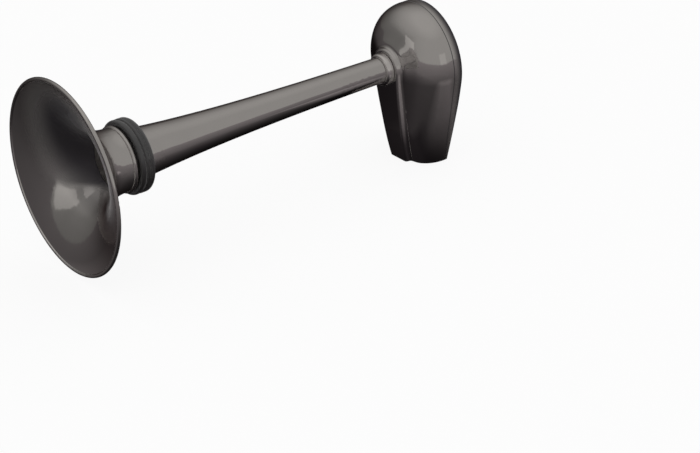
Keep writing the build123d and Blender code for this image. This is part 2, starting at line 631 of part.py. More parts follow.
def pan_screw(seat, length, y, z):
    """Cross-recessed pan-head screw that points forward from its seat."""
    top = seat + SCREW_HEAD
    head = rod(seat, top, SCREW_HEAD_R)
    head = chamfer(head.edges().sort_by(Axis.X)[-1], SCREW_HEAD_EDGE)
    return Pos(0, y, z) * (head - cross_recess(top) + rod(seat - length, seat, SCREW_R))


def sunk_screw(y, spare=0.0):
    """Countersunk screw through the rear cover's foot, or its hole with spare room all round."""
    low, high = SCREW_R + spare, SCREW_HEAD_R + spare
    seat = FOOT_HEAD_TOP - SUNK_HEAD
    head = loft([across(seat) * Circle(low), across(FOOT_HEAD_TOP) * Circle(high)], ruled=True)
    screw = head + rod(SEAM_FRONT - FOOT_SCREW_LENGTH, seat, low)
    return Pos(0, y, FOOT_SCREW_Z) * screw


def make_head_screws():
    """Screws round the sound head's cap, as one group."""
    length = CAP_BACK - FLANGE_END + HEAD_SCREW_DEPTH - 2 * FIT
    return Compound([pan_screw(CAP_BACK, length, y, z)
                     for y, z in around(HEAD_SCREWS, HEAD_SCREW_PITCH_R)])


def make_cover_screws():
    """Screws that hold the rear cover to the posts, as one group."""
    length = SCREW_SEAT - SEAM_FRONT + POST_HOLE - 2 * FIT
    return Compound([pan_screw(SCREW_SEAT, length, y, z) for y, z in post_places()])


def make_foot_screws():
    """Countersunk screws that hold the rear cover's foot to the base plate, as one group."""
    cross = Pos(0, 0, FOOT_SCREW_Z) * cross_recess(FOOT_HEAD_TOP)
    return Compound([sunk_screw(y) - Pos(0, y) * cross for y in (-FOOT_SCREW_Y, FOOT_SCREW_Y)])


EXPORTS = {
    "bell": make_bell,
    "trumpet_tube": make_tube,
    "support_ring": make_support_ring,
    "trumpet_collar": make_collar,
    "front_shell": make_front_shell,
    "seam_gasket": make_seam_gasket,
    "rear_cover": make_rear_cover,
    "base_plate": make_base_plate,
    "base_seal": make_base_seal,
    "inlet_bush": make_inlet_bush,
    "air_pipe": make_air_pipe,
    "pipe_nuts": make_pipe_nuts,
    "hub_seal": make_hub_seal,
    "head_body": make_head_body,
    "nozzle_seat": make_nozzle_seat,
    "front_gasket": make_front_gasket,
    "diaphragm": make_diaphragm,
    "rear_gasket": make_rear_gasket,
    "head_cap": make_head_cap,
    "head_screws": make_head_screws,
    "cover_screws": make_cover_screws,
    "foot_screws": make_foot_screws,
}

os.makedirs("parts", exist_ok=True)
to_row = Pos(-MOUTH_TO_INLET, 0, AXIS_HEIGHT)
for name, make in EXPORTS.items():
    export_step(to_row * make(), "parts/" + name + ".step")
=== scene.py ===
"""Finish, stage and camera for the compressed-air trumpet horn."""
import json
from math import cos, pi, radians, sin

import bpy
from mathutils import Matrix, Vector


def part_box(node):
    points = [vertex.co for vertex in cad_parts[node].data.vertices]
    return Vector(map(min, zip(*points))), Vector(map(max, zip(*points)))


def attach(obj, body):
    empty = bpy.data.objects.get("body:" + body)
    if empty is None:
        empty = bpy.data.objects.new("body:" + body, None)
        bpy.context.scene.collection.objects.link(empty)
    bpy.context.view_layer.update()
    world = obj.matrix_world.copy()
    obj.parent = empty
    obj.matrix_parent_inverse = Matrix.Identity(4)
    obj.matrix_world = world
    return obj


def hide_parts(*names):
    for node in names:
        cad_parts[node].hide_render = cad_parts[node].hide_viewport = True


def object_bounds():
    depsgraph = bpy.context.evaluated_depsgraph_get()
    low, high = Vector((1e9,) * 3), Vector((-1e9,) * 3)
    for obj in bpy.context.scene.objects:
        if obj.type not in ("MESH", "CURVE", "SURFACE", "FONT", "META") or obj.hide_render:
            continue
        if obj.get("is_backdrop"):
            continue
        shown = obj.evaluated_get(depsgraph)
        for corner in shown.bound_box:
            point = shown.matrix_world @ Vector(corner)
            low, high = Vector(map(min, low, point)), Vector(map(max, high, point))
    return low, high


bl_info = {
    "name": "Air Horn Finish",
    "version": (1, 0, 0),
    "blender": (4, 5, 0),
    "location": "3D Viewport > Sidebar > Air Horn",
    "description": "Lacquer, rubber and metal finishes, stage and camera for a trumpet air horn",
    "category": "Object",
}

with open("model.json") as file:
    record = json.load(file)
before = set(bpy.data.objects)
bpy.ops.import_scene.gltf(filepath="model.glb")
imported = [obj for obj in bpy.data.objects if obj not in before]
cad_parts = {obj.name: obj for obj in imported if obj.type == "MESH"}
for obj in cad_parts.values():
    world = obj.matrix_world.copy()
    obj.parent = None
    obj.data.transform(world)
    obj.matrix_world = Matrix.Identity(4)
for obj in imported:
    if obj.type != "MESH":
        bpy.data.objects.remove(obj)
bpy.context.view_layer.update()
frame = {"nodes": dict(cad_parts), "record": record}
NODES = frame["nodes"]
SLOT_COLOURS = {m["slot"]: tuple(m["base_color"][:3]) for m in frame["record"]["materials"]}
NODE_SLOTS = {part["node"]: part["material_slot"] for part in frame["record"]["subparts"]}

# Pieces that each step finishes
TRUMPET = ("bell", "trumpet_tube", "trumpet_collar")
HOUSING = ("front_shell", "rear_cover", "seam_gasket", "base_plate", "base_seal",
           "cover_screws", "foot_screws")
AIR_LINE = ("inlet_bush", "air_pipe", "pipe_nuts")
SOUND_HEAD = ("hub_seal", "head_body", "nozzle_seat", "front_gasket", "diaphragm",
              "rear_gasket", "head_cap", "head_screws")

# Finishes, with lengths in metres
CLOUD_SIZE = 0.02              # size of the lacquer's faint clouds
CLOUD_SHARE = 0.93             # brightness of the darkest cloud
LACQUER_SPREAD = 0.02          # how far the clouds take the lacquer's roughness each way
RIPPLE_HEIGHT = 0.00004        # height of the polish ripples
COLLAR_PAINTED_LIGHT = 1.3              # painted light that makes the finely turned collar brighter
DULL_ROUGHNESS = 0.30          # roughness that dull lacquer adds
DULL_LOSS = 0.6                # share of its mirror that dull lacquer loses
FOOT_FADE = 0.008              # height over which the throat oval's lower edge fades in
NECK_RADII = (0.029, 0.041)    # radii between which the shade of the bell's neck fades out
NECK_SHADE = 0.5               # how strong the painted shade is in the bell's neck
COVER_EDGE = (0.008, 0.0015)   # distances from its back between which the rear cover gets painted shade and dull
COVER_TURN = (0.6, 0.98)       # how far backwards a face looks as the painted shade and dullness end
DUST_GAIN = 2.2                # brightness of the dustiest rubber
DUST_SIZE = 0.009
RUBBER_GRAIN = 0.0006
RUBBER_GRAIN_HEIGHT = 0.00004
RUBBER_ROUGHNESS = (0.24, 0.16)    # least roughness, and what the dust adds to it
RUBBER_IOR = 1.6
METAL_SHARE = 0.82             # brightness of a metal's darkest grain
METAL_SPREAD = 0.05            # how far the grain takes a metal's roughness each way
METAL_GRAIN = 0.0009
PAPER_GRAIN = 0.0004
METAL_GRAIN_HEIGHT = 0.00002
CAD_SMOOTHING = 32.0           # degrees of turn that smooth shading crosses
RING_SMOOTHING = 50.0

# Support ring, with lengths in metres
RING_TURNS = 144               # facets round it
RING_BORE = (0.0221, 0.02075)  # radius of its bore in front and at the rear
RING_LEAD = 0.0017             # length of the bore that keeps the front radius
BAND_STEPS = 12                # facets over the round front band
BAND_FULLNESS = 0.6            # one would be a plain oval, and less is fuller
GROOVE_START = 0.0001          # where the groove's floor starts behind the front band
GROOVE_WIDTH = 0.0004          # from the front band to the rear band
GROOVE_STEP = 0.2              # share of the groove's depth that the rear band starts with
REAR_EDGE = 0.0009             # length of the rear band's rounded front edge
EDGE_STEPS = 4
SHOULDER_STEPS = 8
FINE_LINES = (0.0022, 0.0009)  # distances of the fine lines in front of the rear shoulder
LINE_HALF = 0.00025            # half the width of a fine line

# Room, floor and lamps
WHITE = (1.0, 1.0, 1.0)
ROOM_STOPS = ((0.0, 0.35), (0.26, 0.42), (0.57, 0.72), (0.94, 0.98))   # sine of height, level
BRIGHT_SIDE_STOPS = (  # share of the way from the dim side to the bright side, level
    (0.05, 0.32), (0.18, 0.45), (0.29, 0.62), (0.415, 0.78), (0.60, 0.82))
BRIGHT_SIDE = -70.0    # azimuth of the middle of the room's bright side, in degrees
FLOOR_STOPS = (   # how far a ray is from square to the floor, level that the lacquer shows
    (0.0, 0.045), (0.134, 0.06), (0.234, 0.10), (0.36, 0.18), (0.50, 0.26), (0.66, 0.36),
    (0.83, 0.44), (1.0, 0.52))
SHADES = (   # rectangles on the floor that the lacquer shows dark: x range, y range and how far
    # the shade fades round each, in metres
    ((-0.12, 0.00), (0.05, 0.35), 0.20),
    ((-0.04, 0.01), (-0.030, 0.05), 0.05),
)
LIT_FLOOR = ((-0.01, 0.045), (-0.14, -0.08), 0.045)    # a lighter rectangle, in the same way
DIM_EDGE = (-0.02, 0.10)       # Y in metres between which the floor gets dim behind the horn
FLOOR_HALF = 12.0              # metres
FLOOR_DROP = 0.0002            # metres that the floor lies below the foot
LAMP_DISTANCE = 2.6            # metres
SOFTBOXES = {   # azimuth from +X towards +Y and elevation in degrees, width and height in metres
    "side_softbox": (-85.0, 8.0, (1.0, 1.0)),
    "wide_window": (168.5, 14.0, (1.06, 1.22)),
    "high_window": (168.0, 46.0, (1.2, 0.7)),
}
HIGH_WINDOW_GAIN = 1.3         # brightness of the high window beside the wide one's


# ---- Sizes and colours that a user would change ----

class HornFinish(bpy.types.PropertyGroup):
    """Colours and textures of the horn's finishes."""
    lacquer_colour: bpy.props.FloatVectorProperty(
        name="Lacquer colour", description="Colour that the dark lacquer mirrors head on",
        subtype="COLOR", size=3, min=0.0, max=1.0, default=(0.298, 0.281, 0.266))
    lacquer_edge: bpy.props.FloatVectorProperty(
        name="Lacquer edge", description="Colour that the dark lacquer mirrors at a low angle",
        subtype="COLOR", size=3, min=0.0, max=1.0, default=(0.25, 0.235, 0.24))
    lacquer_roughness: bpy.props.FloatProperty(
        name="Lacquer roughness", description="How much the dark lacquer blurs what it mirrors",
        subtype="FACTOR", default=0.085, min=0.0, max=1.0)
    # painted reflection: lighter colour of the lacquer and rubber in mirror rays, standing in for
    # light
    painted_reflection_colour: bpy.props.FloatVectorProperty(
        name="Lacquer in lacquer", subtype="COLOR", size=3, min=0.0, max=1.0,
        description="Colour that the lacquer has in its own mirror image",
        default=(0.74, 0.72, 0.72))
    self_body: bpy.props.FloatProperty(
        name="Body in lacquer", description="Share of its own body colour in that mirror image",
        subtype="FACTOR", default=0.8, min=0.0, max=1.0)
    polish_ripple: bpy.props.FloatProperty(
        name="Polish ripple", description="Distance between the ripples left by polishing",
        unit="LENGTH", default=0.012, min=0.0001)
    # painted shade: dark colour mixed into the bell's throat and the rear cover's back edge
    painted_shade_colour: bpy.props.FloatVectorProperty(
        name="Throat colour", description="Colour deep in the bell, where the lacquer is thin",
        subtype="COLOR", size=3, min=0.0, max=1.0, default=(0.032, 0.029, 0.032))
    # size of the oval of painted shade deep in the bell
    throat_width: bpy.props.FloatProperty(
        name="Throat width", description="Half the width of the thinly lacquered oval",
        unit="LENGTH", default=0.066, min=0.001)
    throat_height: bpy.props.FloatProperty(
        name="Throat height", description="Half the height of the thinly lacquered oval",
        unit="LENGTH", default=0.070, min=0.001)
    throat_lift: bpy.props.FloatProperty(
        name="Throat lift", description="Height of the oval's middle above the axis",
        unit="LENGTH", default=0.018)
    throat_fade: bpy.props.FloatProperty(
        name="Throat fade", description="Share of its size over which the oval fades out",
        subtype="FACTOR", default=0.5, min=0.01, max=1.0)
    throat_foot: bpy.props.FloatProperty(
        name="Throat foot", description="Height of the oval's straight lower edge from the axis",
        unit="LENGTH", default=-0.027)
    rubber_colour: bpy.props.FloatVectorProperty(
        name="Rubber colour", description="Colour of the support ring and the seals",
        subtype="COLOR", size=3, min=0.0, max=1.0, default=(0.0085, 0.0078, 0.0075))


class RingSizes(bpy.types.PropertyGroup):
    """Sizes of the rubber support ring's two bands."""
    radius: bpy.props.FloatProperty(
        name="Band radius", description="Outside radius of both bands", unit="LENGTH",
        default=0.0302, min=0.0)
    width: bpy.props.FloatProperty(
        name="Ring width", description="Length along the tube", unit="LENGTH",
        default=0.0132, min=0.001)
    gap: bpy.props.FloatProperty(
        name="Ring gap", description="Gap between the bell's neck and the ring",
        unit="LENGTH", default=0.0011, min=0.0)
    front_band: bpy.props.FloatProperty(
        name="Front band", description="Width of the round front band", unit="LENGTH",
        default=0.0049, min=0.0005)
    groove_depth: bpy.props.FloatProperty(
        name="Groove depth", description="Depth of the groove between the bands",
        unit="LENGTH", default=0.0011, min=0.0)
    face_height: bpy.props.FloatProperty(
        name="Face height", description="Height of the front face below the bands",
        unit="LENGTH", default=0.0027, min=0.0)
    shoulder: bpy.props.FloatProperty(
        name="Rear shoulder", description="Rounding of the rear edge", unit="LENGTH",
        default=0.0033, min=0.0001)
    line_depth: bpy.props.FloatProperty(
        name="Line depth", description="Depth of the fine lines in the rear band",
        unit="LENGTH", default=0.0003, min=0.0)


class HornStage(bpy.types.PropertyGroup):
    """Camera, lamps and floor."""
    focal_length: bpy.props.FloatProperty(
        name="Focal length", description="Camera's focal length", unit="CAMERA",
        default=128.571, min=1.0)
    camera_place: bpy.props.FloatVectorProperty(
        name="Camera place", description="Where the camera stands", subtype="XYZ",
        unit="LENGTH", size=3, default=(-1.1420, -1.5252, 0.9071))
    camera_right: bpy.props.FloatVectorProperty(
        name="Camera right", description="Direction of the picture's right side",
        subtype="DIRECTION", size=3, default=(0.80280, -0.59438, -0.04730))
    camera_up: bpy.props.FloatVectorProperty(
        name="Camera up", description="Direction of the picture's upper side",
        subtype="DIRECTION", size=3, default=(0.30506, 0.34129, 0.88908))
    floor_colour: bpy.props.FloatVectorProperty(
        name="Floor colour", description="Colour of the plain floor", subtype="COLOR",
        size=3, min=0.0, max=1.0, default=(0.92, 0.92, 0.92))
    floor_clear: bpy.props.FloatProperty(
        name="Clear floor", subtype="FACTOR", default=0.9, min=0.0, max=1.0,
        description="Share of the floor that stays plain white round the shadow")
    floor_shade: bpy.props.FloatVectorProperty(
        name="Floor shade", description="Colour of the shaded floor by the horn, in its lacquer",
        subtype="COLOR", size=3, min=0.0, max=1.0, default=(0.25, 0.22, 0.25))
    floor_tint: bpy.props.FloatVectorProperty(
        name="Floor tint", description="Colour of the clear floor, in the lacquer",
        subtype="COLOR", size=3, min=0.0, max=1.0, default=(1.0, 0.94, 0.99))
    lit_gain: bpy.props.FloatProperty(
        name="Lit floor", description="How much the floor gains beside the housing",
        default=1.3, min=0.0)
    dim_side: bpy.props.FloatProperty(
        name="Dim side", description="Share of its level that the floor keeps behind the horn",
        subtype="FACTOR", default=0.50, min=0.0, max=1.0)
    side_level: bpy.props.FloatProperty(
        name="Side softbox", description="Brightness of the softbox along the horn's side",
        default=0.2, min=0.0)
    window_level: bpy.props.FloatProperty(
        name="Window softboxes", description="Brightness of the two windows in front of the bell",
        default=0.42, min=0.0)


# ---- Shader sockets as Python values ----

class Sock:
    """A shader socket, or a plain number, on which arithmetic adds Math nodes."""

    def __init__(self, tree, value):
        self.tree = tree
        self.value = value

    def plug(self, socket):
        """Connect this value to a node's input socket."""
        if isinstance(self.value, bpy.types.NodeSocket):
            self.tree.links.new(self.value, socket)
        else:
            socket.default_value = self.value

    def node(self, kind, settings=None, output=0, **inputs):
        """Add any node: its settings first, then the values or links of its sockets.

        A socket is given by its name with _ for each space, or as i and its number.
        """
        made = self.tree.nodes.new(kind)
        for name, setting in (settings or {}).items():
            if name == "stops":
                set_stops(made.color_ramp, setting)
            else:
                setattr(made, name, setting)
        for name, value in inputs.items():
            numbered = name[0] == "i" and name[1:].isdigit()
            key = int(name[1:]) if numbered else name.replace("_", " ")
            wrap(self.tree, value).plug(made.inputs[key])
        return Sock(self.tree, made.outputs[output])

    def math(self, operation, other=0.0, swap=False):
        """Add a Math node on this value and another."""
        pair = (other, self) if swap else (self, other)
        return self.node("ShaderNodeMath", {"operation": operation}, i0=pair[0], i1=pair[1])

    def __add__(self, other):
        return self.math("ADD", other)

    __radd__ = __add__

    def __sub__(self, other):
        return self.math("SUBTRACT", other)

    def __rsub__(self, other):
        return self.math("SUBTRACT", other, swap=True)

    def __mul__(self, other):
        return self.math("MULTIPLY", other)

    __rmul__ = __mul__

    def __abs__(self):
        return self.math("ABSOLUTE")


def wrap(tree, value):
    """Give a socket, number or vector as a Sock."""
    return value if isinstance(value, Sock) else Sock(tree, value)


def set_stops(ramp, stops):
    """Set a colour ramp's stops from (position, grey) pairs."""
    while len(ramp.elements) > 1:
        ramp.elements.remove(ramp.elements[-1])
    ramp.elements[0].position = stops[0][0]
    ramp.elements[0].color = (stops[0][1],) * 3 + (1.0,)
    for position, grey in stops[1:]:
        ramp.elements.new(position).color = (grey,) * 3 + (1.0,)


def new_material(name):
    """Start an empty node material and give it with its wrapped tree and its output node."""
    material = bpy.data.materials.new(name)
    material.use_nodes = True
    tree = material.node_tree
    tree.nodes.clear()
    output = tree.nodes.new("ShaderNodeOutputMaterial")
    return material, Sock(tree, 0.0), output


def principled(start, output, plain, **varying):
    """Add a Principled shader: plain values are set on its sockets, varying ones are linked."""
    shader = start.tree.nodes.new("ShaderNodeBsdfPrincipled")
    for name, value in plain.items():
        shader.inputs[name].default_value = value
    for name, value in varying.items():
        value.plug(shader.inputs[name.replace("_", " ")])
    start.tree.links.new(shader.outputs[0], output.inputs["Surface"])


def parts_of(start, vector):
    """The X, Y and Z parts of a vector."""
    parts = start.node("ShaderNodeSeparateXYZ", Vector=vector).value.node.outputs
    return [Sock(start.tree, parts[axis]) for axis in "XYZ"]


def own_place(start):
    """Place in a piece's own space, in metres."""
    return start.node("ShaderNodeTexCoord", output="Object")


def faced_way(start):
    """Direction that the surface faces."""
    return start.node("ShaderNodeNewGeometry", output="Normal")


def ray_is(start, kind):
    """One for rays of a kind and zero for all others."""
    return start.node("ShaderNodeLightPath", output=f"Is {kind} Ray")


def place_noise(start, size, detail, roughness=0.5):
    """Noise in the horn's own space, whose features are about this many metres across."""
    return start.node("ShaderNodeTexNoise", Vector=own_place(start), Scale=1.0 / size,
                      Detail=detail, Roughness=roughness)


def bumped(start, height, distance, strength):
    """Bump normal from a height."""
    return start.node("ShaderNodeBump", Height=height, Distance=distance, Strength=strength)


def mixed(start, factor, first, second, blend="MIX"):
    """Colour between two colours, each an (r, g, b) or a Sock, or another blend of them."""
    first, second = (end if isinstance(end, Sock) else (*end, 1.0) for end in (first, second))
    return start.node("ShaderNodeMix", {"data_type": "RGBA", "blend_type": blend}, output=2,
                      i0=factor, i6=first, i7=second)


def eased(start, value, low, high):
    """Smooth rise from zero to one as a value goes from one bound to the other."""
    return start.node("ShaderNodeMapRange", {"interpolation_type": "SMOOTHSTEP"},
                      Value=value, From_Min=low, From_Max=high)


def times(gain, colour):
    """A colour that is brighter or darker by a factor."""
    return tuple(gain * part for part in colour)


# ---- Finishes ----

def lacquer_material(finish):
    """Dark glossy lacquer."""
    material, start, output = new_material("dark_lacquer")
    lacquer(start, output, finish)
    return material


def bell_material(finish):
    """The same lacquer on the bell, with painted shade and dull deep inside it."""
    material, start, output = new_material("bell_lacquer")
    lacquer(start, output, finish, *throat_masks(start, finish))
    return material


def collar_material(finish):
    """The same lacquer on the finely turned collar, a little brighter with painted light."""
    material, start, output = new_material("collar_lacquer")
    # painted light: the collar's lacquer colour is raised by this gain
    lacquer(start, output, finish, gain=COLLAR_PAINTED_LIGHT)
    return material


def cover_material(finish):
    """The same lacquer on the rear cover, painted shade and dull along the back of its side."""
    material, start, output = new_material("cover_lacquer")
    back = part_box("rear_cover")[1][0]
    along = parts_of(start, own_place(start))[0]
    backwards = parts_of(start, faced_way(start))[0]
    far, near = COVER_EDGE
    # painted shade: this mask darkens the cover's back edge
    edge = eased(start, along, back - far, back - near)
    edge = edge * (1.0 - eased(start, backwards, *COVER_TURN))
    lacquer(start, output, finish, edge, edge)
    return material


def lacquer(start, output, finish, darkened=None, dull=None, gain=1.0):
    """Shader of the lacquer, which mirrors the room a little unevenly.

    Masks say where it gets painted shade and where it is dull, and the gain how much painted
    light brightens it. In its own mirror image it is painted lighter, a painted reflection, and
    shows more of its body colour.
    """
    colour = times(gain, finish.lacquer_colour)
    cloud = place_noise(start, CLOUD_SIZE, detail=3.0)
    ripple = place_noise(start, finish.polish_ripple, detail=1.0)
    mirrored = ray_is(start, "Glossy")
    shade = mixed(start, cloud, times(CLOUD_SHARE, colour), colour)
    rough = (finish.lacquer_roughness - LACQUER_SPREAD) + 2 * LACQUER_SPREAD * cloud
    metal = 1.0 - finish.self_body * mirrored
    if darkened is not None:
        # painted shade: this mask mixes in the dark painted shade colour
        darkened = darkened * (1.0 - mirrored)
        shade = mixed(start, darkened, shade, tuple(finish.painted_shade_colour))
        dull = dull * (1.0 - mirrored)
        rough = rough + DULL_ROUGHNESS * dull
        metal = metal - DULL_LOSS * dull
    # painted reflection: in mirror rays the lacquer takes a lighter colour
    shade = mixed(start, mirrored, shade, tuple(finish.painted_reflection_colour))
    principled(
        start, output, {"Specular Tint": (*finish.lacquer_edge, 1.0)},
        Base_Color=shade, Roughness=rough, Metallic=metal,
        Normal=bumped(start, ripple, RIPPLE_HEIGHT, strength=0.5))


def throat_masks(start, finish):
    """Where the bell's inside gets painted shade near its axis, and where it is dull too."""
    low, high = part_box("bell")
    middle = (low + high) / 2
    place = parts_of(start, own_place(start))
    facing = parts_of(start, faced_way(start))
    across, up = place[1] - middle[1], place[2] - middle[2]
    inside = (across * facing[1] + up * facing[2]).math("LESS_THAN", 0.0)
    wide = across * (1.0 / finish.throat_width)
    tall = (up - finish.throat_lift) * (1.0 / finish.throat_height)
    oval = (wide * wide + tall * tall).math("SQRT")
    foot = finish.throat_foot
    depth = (1.0 - eased(start, oval, 1.0 - finish.throat_fade, 1.0)) * eased(
        start, up, foot, foot + FOOT_FADE)
    radius = (across * across + up * up).math("SQRT")
    neck = NECK_SHADE * (1.0 - eased(start, radius, *NECK_RADII))
    return inside * depth.math("MAXIMUM", neck), inside * depth


def rubber_material(finish, name="ring_rubber"):
    """Moulded rubber with a fine grain and a little dust; a painted pale reflection in the
    lacquer.
    """
    material, start, output = new_material(name)
    colour = tuple(finish.rubber_colour)
    grain = place_noise(start, RUBBER_GRAIN, detail=3.0, roughness=0.6)
    dust = place_noise(start, DUST_SIZE, detail=3.0)
    shade = mixed(start, dust, colour, times(DUST_GAIN, colour))
    least, added = RUBBER_ROUGHNESS
    # painted reflection: in mirror rays the rubber takes the lighter colour
    principled(
        start, output, {"IOR": RUBBER_IOR},
        Base_Color=mixed(start, ray_is(start, "Glossy"), shade, tuple(finish.painted_reflection_colour)),
        Roughness=least + added * dust,
        Normal=bumped(start, grain, RUBBER_GRAIN_HEIGHT, strength=0.5))
    return material


def metal_maker(slot, name, roughness, grain_size=METAL_GRAIN, metallic=1.0):
    """Maker of a slot's metal or paper, with a fine grain in colour, gloss and relief."""
    def metal_material(finish):
        material, start, output = new_material(name)
        colour = SLOT_COLOURS[slot]
        grain = place_noise(start, grain_size, detail=4.0, roughness=0.6)
        principled(
            start, output, {"Metallic": metallic},
            Base_Color=mixed(start, grain, times(METAL_SHARE, colour), colour),
            Roughness=(roughness - METAL_SPREAD) + 2 * METAL_SPREAD * grain,
            Normal=bumped(start, grain, METAL_GRAIN_HEIGHT, strength=0.4))
        return material
    return metal_material


SLOT_MAKERS = {
    "horn_finish": lacquer_material,
    "ring_rubber": rubber_material,
    "seal_rubber": lambda finish: rubber_material(finish, "seal_rubber"),
    "cast_alloy": metal_maker("cast_alloy", "cast_alloy", 0.5),
    "brass": metal_maker("brass", "turned_brass", 0.25),
    "gasket_paper": metal_maker("gasket_paper", "gasket_paper", 0.85, PAPER_GRAIN, metallic=0.0),
    "spring_steel": metal_maker("spring_steel", "spring_steel", 0.2),
    "screw_steel": metal_maker("screw_steel", "zinc_steel", 0.3),
}
PIECE_MAKERS = {     # pieces with a finish of their own
    "bell": bell_material,
    "trumpet_collar": collar_material,
    "rear_cover": cover_material,
}
MADE = {}     # finishes made so far, by slot


def slot_finish(slot, finish):
    """The finish of a slot, made when it is first asked for."""
    if slot not in MADE:
        MADE[slot] = SLOT_MAKERS[slot](finish)
    return MADE[slot]


def piece_finish(name, finish):
    """The finish of a piece: its own, or else its slot's."""
    if name in PIECE_MAKERS:
        return PIECE_MAKERS[name](finish)
    return slot_finish(NODE_SLOTS[name], finish)


def smooth_by_angle(thing, degrees):
    """Smooth shading over edges that turn by less than an angle, led by the large faces."""
    thing.data.shade_smooth()
    thing.data.set_sharp_from_angle(angle=radians(degrees))
    weighted = thing.modifiers.new("weighted_normals", "WEIGHTED_NORMAL")
    weighted.keep_sharp = True


def dress(names, finish):
    """Give pieces their finishes and smooth shading."""
    for name in names:
        node = NODES[name]
        node.data.materials.clear()
        node.data.materials.append(piece_finish(name, finish))
        smooth_by_angle(node, CAD_SMOOTHING)


# ---- Pieces ----

class AIRHORN_OT_trumpet(bpy.types.Operator):
    """Lacquer the bell, the trumpet tube and its collar"""
    bl_idname = "airhorn.trumpet"
    bl_label = "Lacquer the Trumpet"

    def execute(self, context):
        dress(TRUMPET, context.scene.airhorn_finish)
        return {"FINISHED"}


class AIRHORN_OT_ring(bpy.types.Operator):
    """Mould the rubber support ring behind the bell"""
    bl_idname = "airhorn.ring"
    bl_label = "Mould the Support Ring"

    def execute(self, context):
        finish, sizes = context.scene.airhorn_finish, context.scene.airhorn_ring
        low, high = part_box("support_ring")
        middle = (low + high) / 2
        mesh = turned_mesh("ring_moulding", ring_profile(sizes), RING_TURNS)
        mesh.transform(Matrix.Translation((low[0] + sizes.gap, middle[1], middle[2])))
        mesh.materials.append(slot_finish("ring_rubber", finish))
        ring = bpy.data.objects.new("ring_moulding", mesh)
        context.scene.collection.objects.link(ring)
        smooth_by_angle(ring, RING_SMOOTHING)
        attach(ring, "root")
        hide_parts("support_ring")
        dress(("support_ring",), finish)
        return {"FINISHED"}


def ring_profile(sizes):
    """Closed outline of the ring as (length along the tube, radius) from its front face.

    A round front band, a groove, and a wider rear band with two fine lines and a round
    rear shoulder. The bore follows the tube's taper.
    """
    top, width, front = sizes.radius, sizes.width, sizes.front_band
    face = top - sizes.face_height
    floor = top - sizes.groove_depth
    bore_front, bore_rear = RING_BORE
    points = [(0.0, bore_front), (0.0, face)]
    for step in range(1, BAND_STEPS):           # round front band
        turn = pi * step / BAND_STEPS
        along = front * (1 - cos(turn)) / 2
        height = face + (top - face) * sin(turn) ** BAND_FULLNESS
        if turn <= pi / 2 or height >= floor:
            points.append((along, height))
    rise = front + GROOVE_WIDTH
    points += [(front + GROOVE_START, floor), (rise, floor + GROOVE_STEP * (top - floor))]
    for step in range(1, EDGE_STEPS + 1):       # front edge of the rear band
        turn = pi / 2 * step / EDGE_STEPS
        points.append((rise + REAR_EDGE * (1 - cos(turn)), floor + (top - floor) * sin(turn)))
    flat_end = width - sizes.shoulder
    for distance in FINE_LINES:
        place = flat_end - distance
        points += [(place - LINE_HALF, top), (place, top - sizes.line_depth),
                   (place + LINE_HALF, top)]
    for step in range(SHOULDER_STEPS + 1):      # rear shoulder
        turn = pi / 2 * step / SHOULDER_STEPS
        points.append((flat_end + sizes.shoulder * sin(turn),
                       top - sizes.shoulder * (1 - cos(turn))))
    return points + [(width, bore_rear), (RING_LEAD, bore_front)]


def turned_mesh(name, profile, turns):
    """Mesh of a closed outline turned round the X axis."""
    verts, faces = [], []
    count = len(profile)
    for turn in range(turns):
        angle = 2 * pi * turn / turns
        verts += [(along, radius * cos(angle), radius * sin(angle)) for along, radius in profile]
        after = (turn + 1) % turns
        for point in range(count):
            following = (point + 1) % count
            faces.append((turn * count + point, after * count + point,
                          after * count + following, turn * count + following))
    mesh = bpy.data.meshes.new(name)
    mesh.from_pydata(verts, [], faces)
    mesh.update()
    return mesh


class AIRHORN_OT_housing(bpy.types.Operator):
    """Finish the two housing shells, their gasket, base plate, pad and screws"""
    bl_idname = "airhorn.housing"
    bl_label = "Finish the Housing"

    def execute(self, context):
        dress(HOUSING, context.scene.airhorn_finish)
        return {"FINISHED"}


class AIRHORN_OT_air_line(bpy.types.Operator):
    """Finish the inlet bush, the air pipe and its nuts"""
    bl_idname = "airhorn.air_line"
    bl_label = "Finish the Air Line"

    def execute(self, context):
        dress(AIR_LINE, context.scene.airhorn_finish)
        return {"FINISHED"}


class AIRHORN_OT_sound_head(bpy.types.Operator):
    """Finish the sound head's castings, seals, diaphragm and screws"""
    bl_idname = "airhorn.sound_head"
    bl_label = "Finish the Sound Head"

    def execute(self, context):
        dress(SOUND_HEAD, context.scene.airhorn_finish)
        return {"FINISHED"}


# ---- Stage ----

def floor_material(stage):
    """Plain pale floor: white to the camera away from the shadow, shaded in the lacquer."""
    material, start, output = new_material("pale_floor")
    glossy_ray = ray_is(start, "Glossy")
    grazing = start.node("ShaderNodeLayerWeight", Blend=0.5, output="Facing")
    level = start.node("ShaderNodeValToRGB", {"stops": FLOOR_STOPS}, Fac=grazing)
    tint = mixed(start, shade_share(start), tuple(stage.floor_shade), tuple(stage.floor_tint))
    shaded = mixed(start, 1.0, level, tint, "MULTIPLY")
    mirrored = mixed(start, 1.0, shaded, side_share(start, stage), "MULTIPLY")
    seen = mixed(start, glossy_ray, WHITE, mirrored)
    plain = start.node("ShaderNodeEmission", Color=seen, Strength=1.0)
    lit = start.node("ShaderNodeBsdfDiffuse", Color=(*stage.floor_colour, 1.0))
    share = (stage.floor_clear * ray_is(start, "Camera") + glossy_ray
             + ray_is(start, "Transmission"))
    start.node("ShaderNodeMixShader", i0=share, i1=lit, i2=plain).plug(output.inputs["Surface"])
    return material


